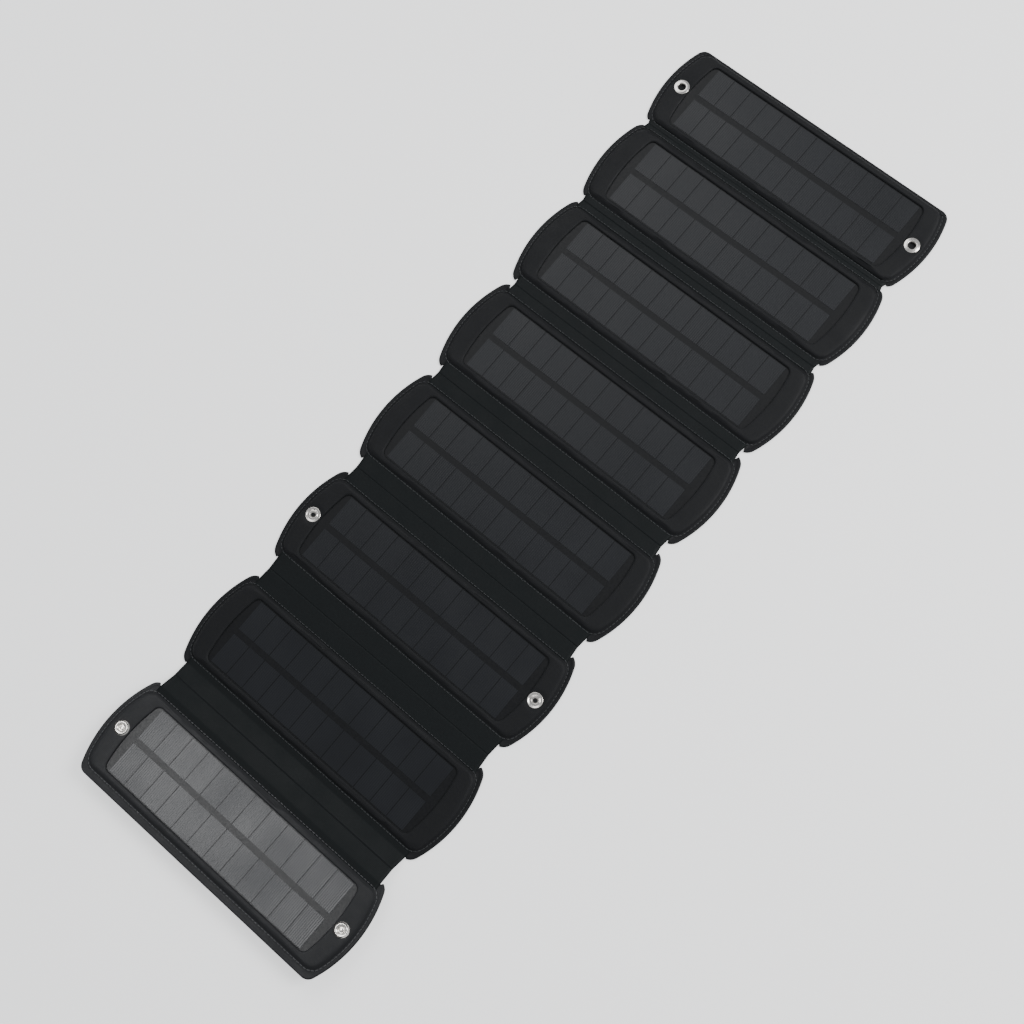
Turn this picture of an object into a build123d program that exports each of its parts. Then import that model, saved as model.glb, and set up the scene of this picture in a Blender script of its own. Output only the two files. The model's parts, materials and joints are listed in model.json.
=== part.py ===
"""Folding solar blanket: eight padded panels joined by fabric hinges, with a rear output box.

Panel 1 is the free end and panel 8 carries the output box.  +X runs along a panel, +Y runs from
panel 8 to panel 1 and +Z is up.  Every panel is drawn in its own frame (origin at its centre, back
face at z = 0, solar face up) and is then moved to its place in the blanket laid out on the ground.
Panels 1 to 7 lie flat; panel 8 rests on the box under it, a little higher than the others.
"""

from build123d import *
import os
from math import asin, cos, degrees, radians, sin, sqrt

# ---- driving dimensions, millimetres ----
PANEL_COUNT = 8
CELL_COLUMNS = 12
CELL_ROWS = 2

COVER_CLOTH = 0.8            # one layer of coated cloth
PANEL_THICKNESS = 3.2        # back cloth to the top of the padded border
FOLD_CLEARANCE = 0.3         # air left between two folded panels
HINGE_CLOTH = 0.8            # cloth of a hinge strip
CREASE_HEIGHT = 0.8          # crease axis above the back face
CREASE_GAP = 0.6             # bare cloth left on each side of a crease axis

BORDER_HALF_WIDTH = 36.0     # padded border, half its width across the panel
LOBE_HALF_LENGTH = 126.6     # panel centre to the tip of its rounded end
LOBE_HALF_WIDTH = 44.0
LOBE_END_RADIUS = 100.0
LOBE_CORNER_RADIUS = 10.0
OUTER_CORNER_RADIUS = 8.0
BORDER_INSET = 4.4           # padded border to the cloth edge at a rounded end
FREE_EDGE = 37.6             # panel 1, centre to its free edge
LAST_EDGE = 43.1             # panel 8, centre to its outer edge

FIRST_CREASE = 37.63         # centre of panel 1 to its crease
CREASE_STEP = 0.75           # each later crease stands this much further out, to wrap the stack
EAR_CLEARANCE = 0.6          # cloth ears on two neighbours, each to the middle of their gap
LAST_PANEL_TILT = 3.0        # degrees, panel 8 on its box
LAST_PANEL_CREASE_HEIGHT = 10.2  # low enough for panels 1 to 5 to fold over above it
STRIP_HALF_LENGTH = 112.7
EARLY_STRIP_HALF_LENGTHS = {1: 116.0, 2: 115.5}
EAR_SLOT = 0.5               # slot between a hinge strip's end and the ears beside it

WINDOW_LENGTH = 211.0
WINDOW_WIDTH = 60.0
WINDOW_END_RADIUS = 130.0
WINDOW_CORNER_RADIUS = 5.0
LAMINATE_LENGTH = 215.0
LAMINATE_NOTCH_RADIUS = 7.2  # round notch at each end, clear of the eyelet or snap
LAMINATE_WIDTH = 69.0
LAMINATE_THICKNESS = 0.9
POCKET_CLEARANCE = 0.2
CELL_PITCH = 16.4
CELL_LENGTH = 15.6
CELL_WIDTH = 26.6
CELL_THICKNESS = 0.2
CELL_ROW_PITCH = 31.6

HARDWARE_OFFSET = 112.5      # panel centre to each eyelet or snap
EYELET_BORE_RADIUS = 3.0
EYELET_BARREL_RADIUS = 3.5
EYELET_FLANGE_RADIUS = 6.3
EYELET_DIMPLE_RADIUS = 6.6
EYELET_CLOTH_TOP = 2.2
EYELET_CLOTH_BOTTOM = 0.5
SNAP_RADIUS = 6.1
SNAP_SHANK_RADIUS = 1.5
STUD_RADIUS = 2.0
STUD_POCKET_RADIUS = 7.4

LEAD_WIDTH = 8.0
LEAD_THICKNESS = 0.3
LEAD_OFFSET = 40.0

BOX_LENGTH = 110.0
BOX_WIDTH = 50.0
BOX_OUTER_INSET = 5.0        # outer edge of panel 8 to the box's outer wall, on the ground
BOX_WALL = 1.8
BOX_CORNER_RADIUS = 6.0
LID_THICKNESS = 2.2
SEAL_THICKNESS = 0.8
SEAL_WIDTH = 1.4
SCREW_INSET = 6.5
SCREW_POST_RADIUS = 3.2
SCREW_RADIUS = 1.5
SCREW_LENGTH = 8.0
SCREW_HEAD_RADIUS = 2.8
SCREW_HEAD_THICKNESS = 1.2
BOARD_LENGTH = 84.0
BOARD_WIDTH = 34.0
BOARD_THICKNESS = 1.6
BOARD_HEIGHT = 3.6
SOCKET_FLANGE_RADIUS = 5.0
SOCKET_FLANGE_THICKNESS = 2.4
SOCKET_THREAD_RADIUS = 3.6
SOCKET_DEPTH = 9.0
SOCKET_BORE_RADIUS = 2.8
SOCKET_PIN_RADIUS = 1.0
SOCKET_PLACE = (-8.0, 6.8)   # Y from the box's centre and Z above the ground

os.makedirs("parts", exist_ok=True)


# ---- the fold ----
def crease_offset(hinge):
    """Distance from a panel's centre to the crease of this hinge; the same on both its panels."""
    return FIRST_CREASE + CREASE_STEP * (hinge - 1)


def strip_span(hinge):
    """Crease to crease, so that the strip spans the panels folded between its two."""
    face_to_face = 2 * (PANEL_THICKNESS - CREASE_HEIGHT) + FOLD_CLEARANCE
    return face_to_face + (hinge - 1) * (PANEL_THICKNESS + FOLD_CLEARANCE)


def strip_half_length(hinge):
    return EARLY_STRIP_HALF_LENGTHS.get(hinge, STRIP_HALF_LENGTH)


def strip_slope(hinge):
    """Degrees that a strip climbs towards panel 8; the other strips lie flat."""
    climb = LAST_PANEL_CREASE_HEIGHT - CREASE_HEIGHT if hinge == LAST_HINGE else 0.0
    return degrees(asin(climb / strip_span(hinge)))


def strip_run(hinge):
    """Ground covered by a strip between its two creases."""
    return strip_span(hinge) * cos(radians(strip_slope(hinge)))


def last_panel_run():
    """Ground covered by panel 8, from its crease to the back of its raised outer edge."""
    tilt = radians(LAST_PANEL_TILT)
    return (crease_offset(LAST_HINGE) + LAST_EDGE) * cos(tilt) + CREASE_HEIGHT * sin(tilt)


def blanket_length():
    length = FREE_EDGE + crease_offset(1)
    for number in range(2, PANEL_COUNT):
        length += crease_offset(number - 1) + crease_offset(number)
    return length + sum(strip_run(hinge) for hinge in range(1, PANEL_COUNT)) + last_panel_run()


def panel_frames():
    """Location of each panel, numbered from 1, with the blanket centred on Y = 0."""
    centre = blanket_length() / 2 - FREE_EDGE
    frames = {1: Location((0, centre, 0))}
    for number in range(2, PANEL_COUNT):
        hinge = number - 1
        centre -= 2 * crease_offset(hinge) + strip_run(hinge)
        frames[number] = Location((0, centre, 0))
    crease_y = centre - crease_offset(LAST_HINGE) - strip_run(LAST_HINGE)
    at_crease = Location((0, crease_y, LAST_PANEL_CREASE_HEIGHT), (-LAST_PANEL_TILT, 0, 0))
    frames[PANEL_COUNT] = at_crease * Location((0, -crease_offset(LAST_HINGE), -CREASE_HEIGHT))
    return frames


LAST_HINGE = PANEL_COUNT - 1
PANEL_FRAMES = panel_frames()


def place(shape, number):
    return shape.moved(PANEL_FRAMES[number])


def save(name, shape):
    shape.label = name
    export_step(shape, f"parts/{name}.step")


# ---- outlines ----
def slab(outline, bottom, top):
    return extrude(outline, top - bottom).translate((0, 0, bottom))


def cylinder(radius, bottom, top, x=0.0, y=0.0):
    return Cylinder(radius, top - bottom, align=(Align.CENTER, Align.CENTER, Align.MIN)).translate(
        (x, y, bottom)
    )


def box_between(x_range, y_range, z_range):
    size = [high - low for low, high in (x_range, y_range, z_range)]
    low_corner = (x_range[0], y_range[0], z_range[0])
    return Box(*size, align=(Align.MIN, Align.MIN, Align.MIN)).translate(low_corner)


def rounded_end_outline(half_length, low_edge, high_edge, end_radius, corner_radius):
    """A plate with two straight long edges, two ends of a large radius and small corners."""
    def reach(y):
        return half_length - end_radius + sqrt(end_radius**2 - y**2)

    low_corner = Vector(reach(low_edge), low_edge)
    high_corner = Vector(reach(high_edge), high_edge)
    low_mirror = Vector(-low_corner.X, low_edge)
    high_mirror = Vector(-high_corner.X, high_edge)
    edges = Curve() + [
        Line(low_mirror, low_corner),
        ThreePointArc(low_corner, (half_length, 0), high_corner),
        Line(high_corner, high_mirror),
        ThreePointArc(high_mirror, (-half_length, 0), low_mirror),
    ]
    outline = make_face(edges)
    return fillet(outline.vertices(), corner_radius)


def panel_edges(number):
    """The cloth's lower (-Y) and upper (+Y) limit at the rounded ends, beyond the creases."""
    low, high = -LAST_EDGE, FREE_EDGE
    if number < PANEL_COUNT:
        low = -min(LOBE_HALF_WIDTH, half_gap(number))
    if number > 1:
        high = min(LOBE_HALF_WIDTH, half_gap(number - 1))
    return low, high


def half_gap(hinge):
    return crease_offset(hinge) + strip_span(hinge) / 2 - EAR_CLEARANCE


def panel_outline(number):
    """Cloth outline: rounded ends, cut back to the creases along the hinge strips."""
    low, high = panel_edges(number)
    outline = rounded_end_outline(
        LOBE_HALF_LENGTH, low, high, LOBE_END_RADIUS,
        OUTER_CORNER_RADIUS if number in (1, PANEL_COUNT) else LOBE_CORNER_RADIUS,
    )
    for hinge, side in ((number, -1), (number - 1, 1)):
        if 1 <= hinge < PANEL_COUNT:
            edge = crease_offset(hinge) - CREASE_GAP
            reach = LOBE_HALF_WIDTH
            cut = Rectangle(2 * (strip_half_length(hinge) + EAR_SLOT), reach)
            outline = outline - Pos(0, side * (edge + reach / 2)) * cut
    return outline


def border_outline():
    return rounded_end_outline(
        LOBE_HALF_LENGTH - BORDER_INSET, -BORDER_HALF_WIDTH, BORDER_HALF_WIDTH,
        LOBE_END_RADIUS - BORDER_INSET, LOBE_CORNER_RADIUS,
    )


def window_outline():
    return rounded_end_outline(
        WINDOW_LENGTH / 2, -WINDOW_WIDTH / 2, WINDOW_WIDTH / 2,
        WINDOW_END_RADIUS, WINDOW_CORNER_RADIUS,
    )


def laminate_outline(grow=0.0):
    outline = rounded_end_outline(
        LAMINATE_LENGTH / 2 + grow, -LAMINATE_WIDTH / 2 - grow, LAMINATE_WIDTH / 2 + grow,
        WINDOW_END_RADIUS, WINDOW_CORNER_RADIUS,
    )
    for side in (-1, 1):
        outline = outline - Pos(side * HARDWARE_OFFSET, 0) * Circle(LAMINATE_NOTCH_RADIUS - grow)
    return outline


# ---- the pieces of one panel ----
LAMINATE_TOP = COVER_CLOTH + LAMINATE_THICKNESS
CELL_TOP = LAMINATE_TOP + CELL_THICKNESS


def hardware_cuts(number):
    """Holes and pressed dimples in the cloth at each end of panels 1, 6 and 8."""
    cuts = []
    for side in (-1, 1):
        x = side * HARDWARE_OFFSET
        if number == 1:
            cuts.append(cylinder(EYELET_BARREL_RADIUS, -1, PANEL_THICKNESS + 1, x))
            cuts.append(cylinder(EYELET_DIMPLE_RADIUS, EYELET_CLOTH_TOP, PANEL_THICKNESS + 1, x))
            cuts.append(cylinder(EYELET_DIMPLE_RADIUS, -1, EYELET_CLOTH_BOTTOM, x))
        if number == 6:
            cuts.append(cylinder(SNAP_SHANK_RADIUS, -1, PANEL_THICKNESS + 1, x))
            cuts.append(cylinder(EYELET_DIMPLE_RADIUS, STUD_CLOTH_TOP, PANEL_THICKNESS + 1, x))
            cuts.append(cylinder(STUD_POCKET_RADIUS, -1, STUD_CLOTH_BOTTOM, x))
        if number == 8:
            cuts.append(cylinder(SNAP_SHANK_RADIUS, -1, PANEL_THICKNESS + 1, x))
            cuts.append(cylinder(EYELET_DIMPLE_RADIUS, SOCKET_SEAT, PANEL_THICKNESS + 1, x))
    return cuts


def front_cover(number):
    """Padded cloth frame round the window, down to the thin cloth edge."""
    cover = slab(panel_outline(number), COVER_CLOTH, 2 * COVER_CLOTH)
    cover = cover + slab(border_outline(), COVER_CLOTH, PANEL_THICKNESS)
    pocket = slab(laminate_outline(POCKET_CLEARANCE), COVER_CLOTH, CELL_TOP)
    window = slab(window_outline(), COVER_CLOTH, PANEL_THICKNESS)
    cover = cover - pocket - window
    for cut in hardware_cuts(number):
        cover = cover - cut
    return cover


def back_cover(number):
    cover = slab(panel_outline(number), 0, COVER_CLOTH)
    for cut in hardware_cuts(number):
        cover = cover - cut
    return cover


def laminate():
    """Backing sheet that carries the cells, bonded to the back cloth."""
    return slab(laminate_outline(), COVER_CLOTH, LAMINATE_TOP)


def cells():
    """Thin film cells, each a separate sheet on the laminate."""
    sheets = []
    for column in range(CELL_COLUMNS):
        x = (column - (CELL_COLUMNS - 1) / 2) * CELL_PITCH
        for row in range(CELL_ROWS):
            y = (row - (CELL_ROWS - 1) / 2) * CELL_ROW_PITCH
            sheet = Box(
                CELL_LENGTH, CELL_WIDTH, CELL_THICKNESS,
                align=(Align.CENTER, Align.CENTER, Align.MIN),
            )
            sheets.append(sheet.translate((x, y, LAMINATE_TOP)))
    return sheets


# ---- eyelets and snaps ----
STUD_CLOTH_TOP = 2.4         # panel 6: cloth is pressed between these two heights
STUD_CLOTH_BOTTOM = 1.8
STUD_BASE = 0.2
STUD_TIP = 0.2
SOCKET_SEAT = 2.6            # panel 8: cloth height under the snap socket
SOCKET_TOP = 4.8
SOCKET_FLOOR = 3.2
SOCKET_MOUTH_RADIUS = 2.6
CAP_THICKNESS = 0.7


def revolved(points):
    """A turned ring or knob from its half section in X and Z, counted from its own axis."""
    section = make_face(Polyline(*[(x, 0, z) for x, z in points], close=True))
    return revolve(section, Axis.Z)


def eyelet():
    """Barrel with a domed flange on the solar side."""
    barrel = EYELET_BARREL_RADIUS
    top = PANEL_THICKNESS
    return revolved([
        (EYELET_BORE_RADIUS, 0.05), (barrel, 0.05), (barrel, EYELET_CLOTH_TOP),
        (EYELET_FLANGE_RADIUS, EYELET_CLOTH_TOP), (EYELET_FLANGE_RADIUS, EYELET_CLOTH_TOP + 0.3),
        (5.4, top - 0.1), (4.4, top), (3.6, top - 0.2), (EYELET_BORE_RADIUS, top - 0.7),
    ])


def eyelet_washer():
    """Flat ring that the barrel is rolled over, on the back."""
    outer = EYELET_FLANGE_RADIUS - 0.1
    return revolved([
        (EYELET_BARREL_RADIUS + 0.05, 0.05), (outer, 0.05),
        (outer, EYELET_CLOTH_BOTTOM), (EYELET_BARREL_RADIUS + 0.05, EYELET_CLOTH_BOTTOM),
    ])


def snap_post():
    """Rivet on panel 6's face: a dished flange with a hollow centre and a shank."""
    bottom = STUD_CLOTH_TOP
    return revolved([
        (0, 0.8), (SNAP_SHANK_RADIUS, 0.8), (SNAP_SHANK_RADIUS, bottom), (SNAP_RADIUS, bottom),
        (SNAP_RADIUS - 0.3, bottom + 0.5), (4.2, bottom + 0.8), (2.6, bottom + 0.6),
        (1.2, bottom + 0.2), (1.2, bottom - 0.8), (0, bottom - 0.8),
    ])


def snap_stud():
    """Knob on panel 6's back, riveted on the post."""
    inner = SNAP_SHANK_RADIUS + 0.02
    return revolved([
        (inner, STUD_CLOTH_BOTTOM), (SNAP_RADIUS - 0.6, STUD_CLOTH_BOTTOM),
        (SNAP_RADIUS - 0.6, STUD_CLOTH_BOTTOM - STUD_BASE),
        (STUD_RADIUS - 0.2, STUD_CLOTH_BOTTOM - STUD_BASE), (STUD_RADIUS, 0.7),
        (STUD_RADIUS - 0.1, STUD_TIP + 0.2), (STUD_RADIUS - 0.4, STUD_TIP), (inner, STUD_TIP),
    ])


def snap_socket():
    """Cup on panel 8's face that the stud presses into."""
    return revolved([
        (SNAP_SHANK_RADIUS + 0.02, SOCKET_SEAT), (SNAP_RADIUS, SOCKET_SEAT),
        (SNAP_RADIUS, SOCKET_SEAT + 0.5), (5.0, SOCKET_TOP - 0.5), (4.2, SOCKET_TOP),
        (3.0, SOCKET_TOP), (SOCKET_MOUTH_RADIUS, SOCKET_TOP - 0.4),
        (SOCKET_MOUTH_RADIUS, SOCKET_FLOOR), (SNAP_SHANK_RADIUS + 0.02, SOCKET_FLOOR),
    ])


def snap_cap():
    """Rivet cap under panel 8 that holds the socket."""
    return revolved([
        (0, -CAP_THICKNESS), (4.0, -CAP_THICKNESS), (SNAP_RADIUS, -0.3), (SNAP_RADIUS, 0),
        (SNAP_SHANK_RADIUS, 0), (SNAP_SHANK_RADIUS, 3.1), (0, 3.1),
    ])


def pair(piece, number):
    """The same piece at both ends of a panel, as one group of separate solids."""
    copies = [piece.translate((side * HARDWARE_OFFSET, 0, 0)) for side in (-1, 1)]
    return place(Compound(copies), number)


# ---- hinge strips ----
def strip_frame(hinge):
    """Location of a strip: origin on the crease of its higher-numbered panel, +Y along it."""
    crease = (PANEL_FRAMES[hinge + 1] * Location((0, crease_offset(hinge), CREASE_HEIGHT))).position
    return Location(crease, (-strip_slope(hinge), 0, 0))


def strip_cloth(hinge):
    span = strip_span(hinge)
    half = strip_half_length(hinge)
    run = (CREASE_GAP, span - CREASE_GAP)
    cloth = box_between((-half, half), run, (-HINGE_CLOTH / 2, HINGE_CLOTH / 2))
    for lead in strip_leads(hinge):
        cloth = cloth - lead
    return cloth


def strip_leads(hinge):
    """Two flat copper leads that run through the strip, from panel to panel."""
    run = (CREASE_GAP, strip_span(hinge) - CREASE_GAP)
    half = LEAD_WIDTH / 2
    thickness = (-LEAD_THICKNESS / 2, LEAD_THICKNESS / 2)
    return [box_between((x - half, x + half), run, thickness) for x in (-LEAD_OFFSET, LEAD_OFFSET)]


# ---- output box under panel 8, drawn about the centre of its footprint ----
BOX_CENTRE_Y = -blanket_length() / 2 + BOX_OUTER_INSET + BOX_WIDTH / 2


def under_panel_8(shape, gap):
    """The part of a shape that lies this far or more below panel 8's back face."""
    deep = 100.0
    block = box_between((-200, 200), (-200, 200), (-deep - gap, -gap))
    return shape & place(block, PANEL_COUNT).translate((0, -BOX_CENTRE_Y, 0))


def box_plan(inset=0.0):
    radius = BOX_CORNER_RADIUS - inset
    return RectangleRounded(BOX_LENGTH - 2 * inset, BOX_WIDTH - 2 * inset, radius)


def screw_places():
    return [
        (i * (BOX_LENGTH / 2 - SCREW_INSET), j * (BOX_WIDTH / 2 - SCREW_INSET))
        for i in (-1, 1) for j in (-1, 1)
    ]


def box_tub():
    """Walls and a sloping roof; the roof is bonded to the back cloth of panel 8."""
    tall = 60.0
    outer = under_panel_8(slab(box_plan(), LID_THICKNESS, tall), 0)
    tub = outer - under_panel_8(slab(box_plan(BOX_WALL), 0, tall), BOX_WALL)
    for x, y in screw_places():
        post = cylinder(SCREW_POST_RADIUS, LID_THICKNESS, tall, x, y)
        tub = tub + under_panel_8(post, 0)
        tub = tub - cylinder(SCREW_RADIUS, LID_THICKNESS, SCREW_LENGTH + 0.4, x, y)
    bore = Cylinder(SOCKET_THREAD_RADIUS, 4 * BOX_WALL, rotation=(0, 90, 0))
    return tub - bore.translate((BOX_LENGTH / 2, *SOCKET_PLACE))


def box_lid():
    """Screwed cover that the box stands on, with two ribs that carry the circuit board."""
    lid = slab(box_plan(), 0, LID_THICKNESS)
    for side in (-1, 1):
        x = side * (BOARD_LENGTH / 2 - 8)
        lid = lid + box_between((x - 2, x + 2), (-12, 12), (LID_THICKNESS, BOARD_HEIGHT))
    for x, y in screw_places():
        lid = lid - cylinder(SCREW_RADIUS + 0.2, 0, LID_THICKNESS, x, y)
        lid = lid - cylinder(SCREW_HEAD_RADIUS + 0.2, 0, SCREW_HEAD_THICKNESS + 0.1, x, y)
    return lid


def lid_seal():
    """Rubber ring inside the foot of the tub's wall, lying on the lid."""
    outer = BOX_WALL + 0.1
    top = LID_THICKNESS + SEAL_THICKNESS
    seal = slab(box_plan(outer), LID_THICKNESS, top)
    seal = seal - slab(box_plan(outer + SEAL_WIDTH), LID_THICKNESS, top)
    for x, y in screw_places():
        seal = seal - cylinder(SCREW_POST_RADIUS + 0.1, LID_THICKNESS, top, x, y)
    return seal


def lid_screw(x, y):
    low = 0.1
    head_top = SCREW_HEAD_THICKNESS + low
    head = cylinder(SCREW_HEAD_RADIUS, low, head_top, x, y)
    shank = cylinder(SCREW_RADIUS, head_top, SCREW_LENGTH, x, y)
    drive = cylinder(1.1, low, head_top - 0.5, x, y)
    return head + shank - drive


def circuit_board():
    outline = RectangleRounded(BOARD_LENGTH, BOARD_WIDTH, 2)
    return slab(outline, BOARD_HEIGHT, BOARD_HEIGHT + BOARD_THICKNESS)


def board_parts():
    """Coil, two capacitors and a row of blocking diodes on the board."""
    base = BOARD_HEIGHT + BOARD_THICKNESS
    coil = cylinder(6.0, base, base + 4.5, -20, -8)
    tall = [cylinder(3.5, base, base + 5, x, -10) for x in (2, 14)]
    diodes = [box_between((x, x + 4.6), (6, 12.5), (base, base + 2.3)) for x in (-4, 3, 10, 17)]
    return [coil, *tall, *diodes]


def output_socket():
    """Sealed round socket in the box's end wall: flange, thread, bore and centre pin."""
    flange_face = SOCKET_FLANGE_THICKNESS
    bore_floor = 1.5 - SOCKET_DEPTH
    section = make_face(Polyline(
        (flange_face, 0, SOCKET_BORE_RADIUS), (flange_face, 0, SOCKET_FLANGE_RADIUS),
        (0, 0, SOCKET_FLANGE_RADIUS), (0, 0, SOCKET_THREAD_RADIUS),
        (-SOCKET_DEPTH, 0, SOCKET_THREAD_RADIUS), (-SOCKET_DEPTH, 0, 0),
        (flange_face - 1.5, 0, 0), (flange_face - 1.5, 0, SOCKET_PIN_RADIUS),
        (bore_floor, 0, SOCKET_PIN_RADIUS), (bore_floor, 0, SOCKET_BORE_RADIUS), close=True,
    ))
    return revolve(section, Axis.X).translate((BOX_LENGTH / 2, *SOCKET_PLACE))


# ---- write every node ----
def main():
    for number in range(1, PANEL_COUNT + 1):
        save(f"panel_{number}_front_cover", place(front_cover(number), number))
        save(f"panel_{number}_back_cover", place(back_cover(number), number))
        save(f"panel_{number}_laminate", place(laminate(), number))
        save(f"panel_{number}_cells", place(Compound(cells()), number))

    for hinge in range(1, PANEL_COUNT):
        frame = strip_frame(hinge)
        save(f"hinge_{hinge}_cloth", strip_cloth(hinge).moved(frame))
        save(f"hinge_{hinge}_leads", Compound(strip_leads(hinge)).moved(frame))

    save("eyelet_barrels", pair(eyelet(), 1))
    save("eyelet_washers", pair(eyelet_washer(), 1))
    save("snap_posts", pair(snap_post(), 6))
    save("snap_studs", pair(snap_stud(), 6))
    save("snap_sockets", pair(snap_socket(), 8))
    save("snap_caps", pair(snap_cap(), 8))

    screws = [lid_screw(x, y) for x, y in screw_places()]
    box_pieces = {
        "output_box_tub": box_tub(),
        "output_box_lid": box_lid(),
        "lid_seal": lid_seal(),
        "lid_screws": Compound(screws),
        "circuit_board": circuit_board(),
        "board_components": Compound(board_parts()),
        "output_socket": output_socket(),
    }
    for name, piece in box_pieces.items():
        save(name, piece.translate((0, BOX_CENTRE_Y, 0)))

    for hinge in range(1, PANEL_COUNT):
        near, far = strip_frame(hinge).position, PANEL_FRAMES[hinge].position
        far_crease = far + Vector(0, -crease_offset(hinge), CREASE_HEIGHT)
        print(
            f"hinge {hinge}: span {strip_span(hinge):.2f}, slope {strip_slope(hinge):.3f} deg,"
            f" creases y {near.Y:.3f} z {near.Z:.3f} and y {far_crease.Y:.3f} z {far_crease.Z:.3f}"
        )


main()
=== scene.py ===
"""Folding solar blanket: padded cloth covers, cloth hinges, embossed film, eyelets, snaps and output box.

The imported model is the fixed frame.  Its panels, creases and nodes give every place below; the cloth, thread
and turned metal are built here over it.
"""

import json
from math import asin, cos, pi, radians, sin, sqrt

import bpy
from bpy.props import FloatProperty, FloatVectorProperty, PointerProperty, StringProperty
from mathutils import Matrix, Vector, noise

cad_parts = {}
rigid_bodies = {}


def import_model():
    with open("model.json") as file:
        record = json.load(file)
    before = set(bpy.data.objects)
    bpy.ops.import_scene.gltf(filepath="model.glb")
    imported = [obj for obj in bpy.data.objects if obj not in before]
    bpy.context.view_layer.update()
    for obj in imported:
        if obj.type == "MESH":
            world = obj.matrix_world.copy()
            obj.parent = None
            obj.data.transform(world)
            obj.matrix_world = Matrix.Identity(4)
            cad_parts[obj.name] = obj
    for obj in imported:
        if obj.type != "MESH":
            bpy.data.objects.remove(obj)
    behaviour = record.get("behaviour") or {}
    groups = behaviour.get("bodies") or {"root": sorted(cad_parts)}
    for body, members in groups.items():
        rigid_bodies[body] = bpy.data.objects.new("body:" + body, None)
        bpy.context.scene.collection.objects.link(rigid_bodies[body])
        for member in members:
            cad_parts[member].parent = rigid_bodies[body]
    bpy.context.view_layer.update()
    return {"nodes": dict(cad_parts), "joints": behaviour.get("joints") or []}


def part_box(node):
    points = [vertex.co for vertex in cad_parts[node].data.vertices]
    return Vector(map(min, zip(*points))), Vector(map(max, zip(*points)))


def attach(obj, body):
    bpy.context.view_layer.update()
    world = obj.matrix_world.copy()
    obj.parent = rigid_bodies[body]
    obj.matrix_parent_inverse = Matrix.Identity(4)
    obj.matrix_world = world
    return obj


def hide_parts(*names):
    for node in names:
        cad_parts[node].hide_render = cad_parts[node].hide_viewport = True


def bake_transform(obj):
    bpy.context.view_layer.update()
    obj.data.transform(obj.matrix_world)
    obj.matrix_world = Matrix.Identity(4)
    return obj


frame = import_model()

bl_info = {
    "name": "Folding solar blanket",
    "version": (1, 0, 0),
    "blender": (4, 5, 0),
    "location": "3D View > Sidebar > Solar blanket",
    "description": "Builds the cloth, thread, film and metal of a folding solar blanket over its frame",
    "category": "Object",
}

MM = 0.001
JOINTS = {joint["name"]: joint for joint in frame["joints"]}
PANELS = range(1, 9)
HINGES = range(1, 8)
ENDS = (-1, 1)

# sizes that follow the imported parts, in millimetres
HARDWARE_OFFSET = 112.5      # panel centre to each eyelet or snap
CREASE_GAP = 0.6             # bare cloth from a cover to a crease
LEDGE_START = 36.8           # panel centre to the flat cloth ledge beside a hinge strip
LEDGE_HEIGHT = 0.95          # top of that ledge over the back face
STRIP_TUCK = 36.2            # panel centre to the edge of a strip, hidden under the border
LOBE_CORNER = 10.0
OUTER_CORNER = 8.0           # the outer corners of panels 1 and 8
WINDOW_RADIUS = 130.0
WINDOW_CORNER = 5.0


# ---- where the frame puts things, in millimetres ----
def box_mm(node):
    low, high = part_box(node)
    return Vector(low) / MM, Vector(high) / MM


def crease(hinge, side):
    """A point on the crease of a hinge: "near" on panel hinge + 1, "far" on panel hinge."""
    return Vector(JOINTS[f"fold_{hinge}_{side}"]["pos_m"]) / MM


def cells_centre(panel):
    low, high = box_mm(f"panel_{panel}_cells")
    return (low.y + high.y) / 2


CENTRE_Y = {panel: cells_centre(panel) for panel in PANELS}
# panel centre to crease, the same on both panels of a hinge
CREASE_OFFSET = {hinge: CENTRE_Y[hinge] - crease(hinge, "far").y for hinge in HINGES}
STRIP_HALF = {hinge: box_mm(f"hinge_{hinge}_cloth")[1].x for hinge in HINGES}
CREASE_HEIGHT = crease(1, "far").z
LAST_TILT = 180 - sum(JOINTS[f"fold_7_{side}"]["range_deg"][1] for side in ("near", "far"))
HARDWARE_X = (box_mm("eyelet_barrels")[1].x + box_mm("eyelet_barrels")[0].x) / 2 + HARDWARE_OFFSET


def panel_frame(panel):
    """Matrix from a panel's own frame (centre of its back face, solar face up) to the row frame."""
    if panel < 8:
        return Matrix.Translation((0, CENTRE_Y[panel], 0))
    at_crease = Matrix.Translation(crease(7, "near")) @ Matrix.Rotation(radians(-LAST_TILT), 4, "X")
    return at_crease @ Matrix.Translation((0, -CREASE_OFFSET[7], -CREASE_HEIGHT))


PANEL_FRAMES = {panel: panel_frame(panel) for panel in PANELS}


# ---- sizes and colours that a user would change ----
def size(name, description, default, unit="NONE"):
    return FloatProperty(name=name, description=description, default=default, unit=unit, precision=3)


def colour(name, description, default):
    return StringProperty(name=name, description=description, default=default)


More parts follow.
